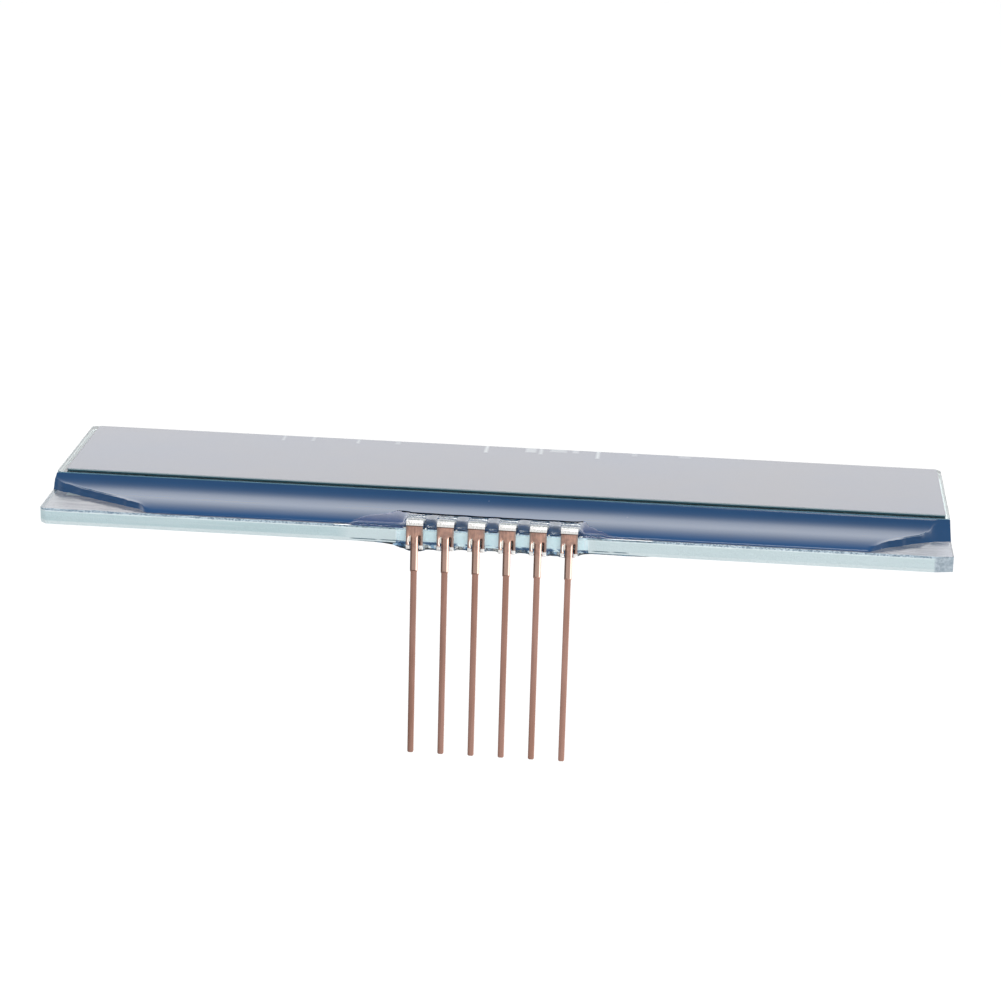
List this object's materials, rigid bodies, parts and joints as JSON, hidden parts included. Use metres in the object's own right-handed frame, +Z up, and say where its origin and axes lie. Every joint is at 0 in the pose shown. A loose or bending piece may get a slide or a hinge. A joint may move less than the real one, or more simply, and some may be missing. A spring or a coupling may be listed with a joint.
{
  "type": "lcd screen",
  "caption": "Bare glass liquid-crystal display cell with a sealed contact ledge and a row of long straight clip pins that solder into a circuit board.",
  "frame": {"origin": "middle of the pin row at the free tips of the pins, in the mid-plane of the legs", "axes": "+X along the pin row and the long side of the glass, +Y from the contact ledge towards the display, +Z up through the display face"},
  "size_m": [0.0752, 0.0209, 0.0211],
  "materials": {
    "plate_glass": "clear float glass with pale teal scribed edges",
    "polarizer_film": "smooth pale grey film",
    "reflector_film": "silvery grey reflective film",
    "seal_epoxy": "cured epoxy",
    "plug_resin": "cured clear resin bead",
    "clear_electrode": "transparent conductive oxide",
    "crossover_paste": "conductive paste",
    "liquid_crystal": "clear fluid film",
    "chip_silicon": "ground silicon",
    "bond_film": "cured bonding film",
    "blue_coating": "glossy translucent blue coating",
    "pin_resin": "clear cured resin with a teal tint",
    "pin_copper": "stamped copper-brown alloy strip with bright bends"
  },
  "bodies": {
    "root": {"rear_glass": "plate_glass", "front_glass": "plate_glass", "front_polarizer": "polarizer_film", "rear_polarizer": "reflector_film", "perimeter_seal": "seal_epoxy", "fill_port_plug": "plug_resin", "segment_electrodes": "clear_electrode", "common_electrodes": "clear_electrode", "input_traces": "clear_electrode", "crossover_dots": "crossover_paste", "liquid_crystal": "liquid_crystal", "driver_chip": "chip_silicon", "chip_bond_film": "bond_film", "ledge_coating": "blue_coating", "pin_glue": "pin_resin", "pin_1": "pin_copper", "pin_2": "pin_copper", "pin_3": "pin_copper", "pin_4": "pin_copper", "pin_5": "pin_copper", "pin_6": "pin_copper"}
  },
  "joints": []
}
